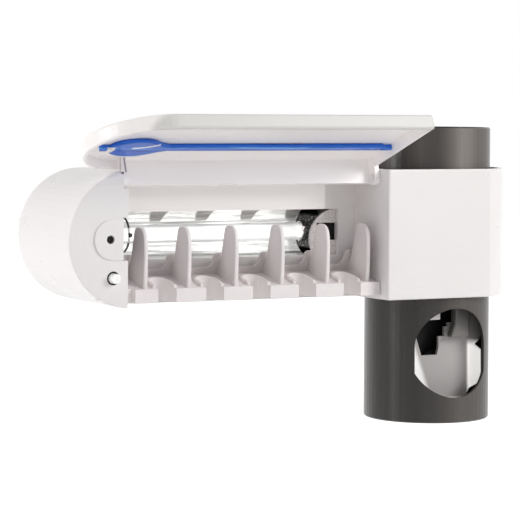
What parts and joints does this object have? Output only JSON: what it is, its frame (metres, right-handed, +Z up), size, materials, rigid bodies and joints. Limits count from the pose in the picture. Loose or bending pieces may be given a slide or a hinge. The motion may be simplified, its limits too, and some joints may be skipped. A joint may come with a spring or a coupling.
{
  "type": "toothbrush sterilizer",
  "caption": "Wall-hung ultraviolet toothbrush sterilizer: a lidded brush chamber with a hanging comb and a lamp behind, and a toothpaste dispenser tube at one end.",
  "frame": {"origin": "on the wall, at the back face of the wall plate, half way up the box", "axes": "+X to the right of someone facing it, +Y into the wall, +Z up"},
  "size_m": [0.2352, 0.1079, 0.1453],
  "materials": {
    "white_abs": "satin moulded",
    "blue_lens": "clear blue, gloss",
    "tube_grey": "gloss",
    "black_plastic": "matt",
    "pale_rubber": "matt",
    "black_rubber": "matt",
    "bare_metal": "bright",
    "lamp_glass": "clear",
    "bright_reflector": "polished",
    "board": "satin"
  },
  "bodies": {
    "housing": {"main_housing": "white_abs", "comb_tray": "white_abs", "back_cover": "white_abs", "wall_plate": "white_abs", "lamp_shield": "white_abs", "hinge_pin_left": "white_abs", "hinge_pin_right": "white_abs", "lamp_bracket": "black_plastic", "lamp_socket_left": "black_plastic", "lamp_socket_right": "black_plastic", "transformer": "black_plastic", "capacitor_1": "black_plastic", "capacitor_2": "black_plastic", "micro_switch": "black_plastic", "power_inlet": "black_plastic", "lamp_cap_left": "bare_metal", "lamp_cap_right": "bare_metal", "button_spring": "bare_metal", "boss_screw": "bare_metal", "cover_screw_1": "bare_metal", "cover_screw_2": "bare_metal", "cover_screw_3": "bare_metal", "cover_screw_4": "bare_metal", "cover_screw_5": "bare_metal", "uv_lamp_tube": "lamp_glass", "reflector": "bright_reflector", "circuit_board": "board"},
    "lid": {"lid_shell": "white_abs", "lid_lens": "blue_lens"},
    "button": {"interlock_button": "white_abs"},
    "dispenser": {"dispenser_tube": "tube_grey", "squeezer_frame": "black_plastic", "nozzle_block": "white_abs", "squeezer_ledge": "white_abs", "paste_socket": "pale_rubber", "pump_diaphragm": "black_rubber", "paddle_pin": "bare_metal"},
    "paddle": {"push_paddle": "white_abs"}
  },
  "joints": [
    {"name": "lid_hinge", "type": "hinge", "parent": "housing", "child": "lid", "pos_m": [0, -0.0568, 0.0263], "axis": [1, 0, 0], "range_deg": [0, 110]},
    {"name": "button_press", "type": "slide", "parent": "housing", "child": "button", "axis": [0, 1, 0], "range_m": [0, 0.0024], "stiffness_N_per_m": 150, "springref_m": -0.002, "deforming": ["button_spring"]},
    {"name": "dispenser_lift", "type": "slide", "parent": "housing", "child": "dispenser", "axis": [0, 0, 1], "range_m": [0, 0.118]},
    {"name": "paddle_push", "type": "hinge", "parent": "dispenser", "child": "paddle", "pos_m": [0.0815, -0.05, -0.0815], "axis": [-1, 0, 0], "range_deg": [0, 8], "stiffness_Nm_per_rad": 0.08, "springref_deg": -8.59, "deforming": ["pump_diaphragm"]}
  ]
}
